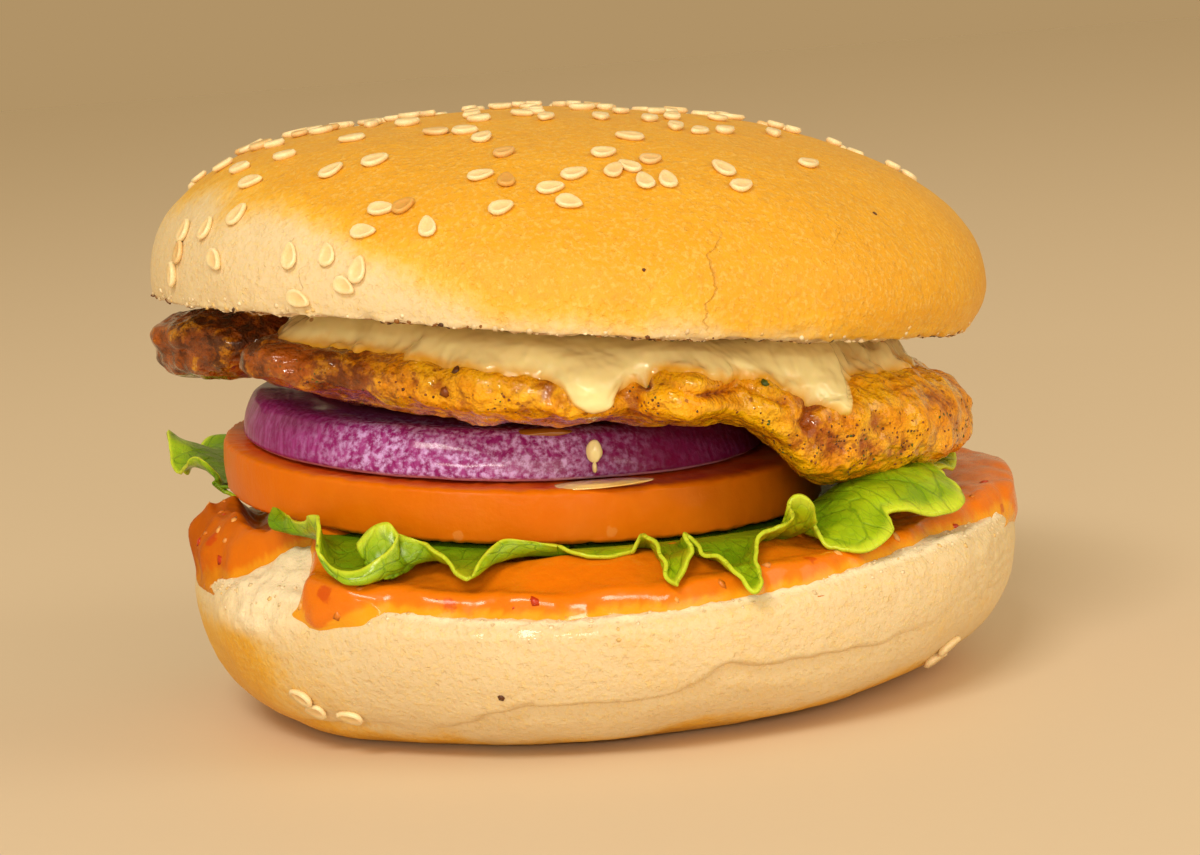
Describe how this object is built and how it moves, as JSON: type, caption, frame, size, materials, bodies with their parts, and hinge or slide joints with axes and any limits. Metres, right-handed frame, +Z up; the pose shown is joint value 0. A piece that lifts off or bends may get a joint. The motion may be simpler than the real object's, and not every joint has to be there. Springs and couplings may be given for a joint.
{
  "type": "chicken burger",
  "caption": "Grilled chicken burger in a sesame bun with burger sauce, lettuce, a tomato slice, red onion and cream sauce, leaning as it was stacked.",
  "frame": {"origin": "centre of the lower bun's flat base", "axes": "+Z up, -Y towards the front that shows the fillings best, +X to the viewer's right"},
  "size_m": [0.1101, 0.106, 0.0742],
  "materials": {
    "bun": "baked bread crust, golden brown fading to pale cream, soft satin",
    "burger_sauce": "glossy orange mayonnaise sauce",
    "lettuce": "waxy green leaf with a paler margin",
    "tomato": "smooth moist tomato flesh and skin",
    "red_onion": "fibrous purple onion with a frosty sheen",
    "grilled_chicken": "glazed, spiced and lightly charred chicken",
    "cream_sauce": "glossy cream coloured mayonnaise"
  },
  "bodies": {
    "root": {"bottom_bun": "bun", "burger_sauce": "burger_sauce", "lettuce_front_left": "lettuce", "lettuce_front": "lettuce", "lettuce_right": "lettuce", "lettuce_back": "lettuce", "lettuce_left": "lettuce", "tomato_slice": "tomato", "red_onion": "red_onion", "chicken_fillet": "grilled_chicken", "chicken_side_piece": "grilled_chicken", "cream_sauce": "cream_sauce", "top_bun": "bun"}
  },
  "joints": []
}
